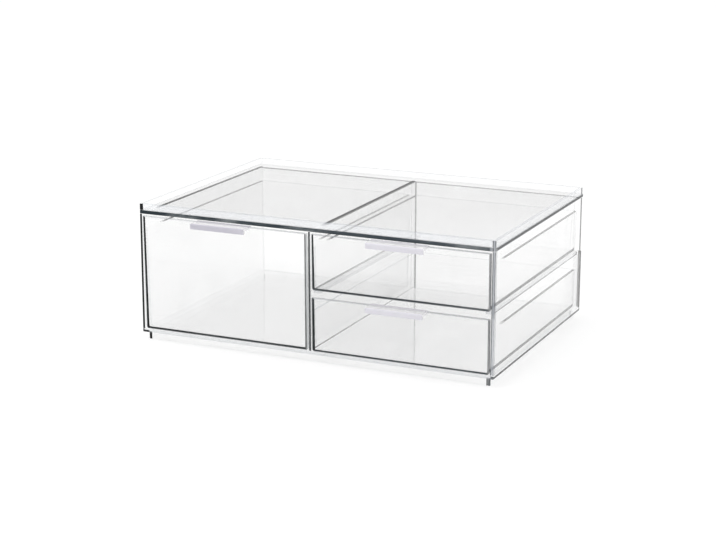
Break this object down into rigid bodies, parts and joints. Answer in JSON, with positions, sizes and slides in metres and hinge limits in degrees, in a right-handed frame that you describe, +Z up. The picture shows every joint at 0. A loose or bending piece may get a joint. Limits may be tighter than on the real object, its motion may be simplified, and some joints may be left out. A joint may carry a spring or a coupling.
{
  "type": "makeup organizer",
  "caption": "Clear acrylic makeup organizer: a wide low case with a stacking rim and foot frame, one tall drawer and two shallow drawers that slide out by frosted lip pulls.",
  "frame": {"origin": "middle of the whole footprint, pulls included, on the surface that the organizer stands on", "axes": "+X to the right along the front, +Y into the depth away from the drawer fronts, +Z up"},
  "size_m": [0.308, 0.225, 0.1151],
  "materials": {
    "case_sheet": "clear polished acrylic sheet",
    "divider_sheet": "clear polished acrylic sheet, faint green at its edge",
    "rim_strip": "clear polished acrylic strip",
    "foot_strip": "clear polished acrylic strip",
    "runner_strip": "clear polished acrylic strip",
    "drawer_front": "clear polished acrylic sheet",
    "drawer_sheet": "clear polished acrylic sheet",
    "pull_frosted": "frosted translucent acrylic"
  },
  "bodies": {
    "case": {"top_panel": "case_sheet", "base_panel": "case_sheet", "left_wall": "case_sheet", "right_wall": "case_sheet", "back_wall": "case_sheet", "divider": "divider_sheet", "rim_front": "rim_strip", "rim_back": "rim_strip", "rim_left": "rim_strip", "rim_right": "rim_strip", "foot_front": "foot_strip", "foot_back": "foot_strip", "foot_left": "foot_strip", "foot_right": "foot_strip", "divider_runner": "runner_strip", "wall_runner": "runner_strip"},
    "tall_drawer": {"tall_drawer_front": "drawer_front", "tall_drawer_left_side": "drawer_sheet", "tall_drawer_right_side": "drawer_sheet", "tall_drawer_back": "drawer_sheet", "tall_drawer_floor": "drawer_sheet", "tall_drawer_pull": "pull_frosted"},
    "upper_drawer": {"upper_drawer_front": "drawer_front", "upper_drawer_left_side": "drawer_sheet", "upper_drawer_right_side": "drawer_sheet", "upper_drawer_back": "drawer_sheet", "upper_drawer_floor": "drawer_sheet", "upper_drawer_pull": "pull_frosted"},
    "lower_drawer": {"lower_drawer_front": "drawer_front", "lower_drawer_left_side": "drawer_sheet", "lower_drawer_right_side": "drawer_sheet", "lower_drawer_back": "drawer_sheet", "lower_drawer_floor": "drawer_sheet", "lower_drawer_pull": "pull_frosted"}
  },
  "joints": [
    {"name": "tall_drawer_slide", "type": "slide", "parent": "case", "child": "tall_drawer", "axis": [0, -1, 0], "range_m": [0, 0.15]},
    {"name": "upper_drawer_slide", "type": "slide", "parent": "case", "child": "upper_drawer", "axis": [0, -1, 0], "range_m": [0, 0.15]},
    {"name": "lower_drawer_slide", "type": "slide", "parent": "case", "child": "lower_drawer", "axis": [0, -1, 0], "range_m": [0, 0.15]}
  ]
}
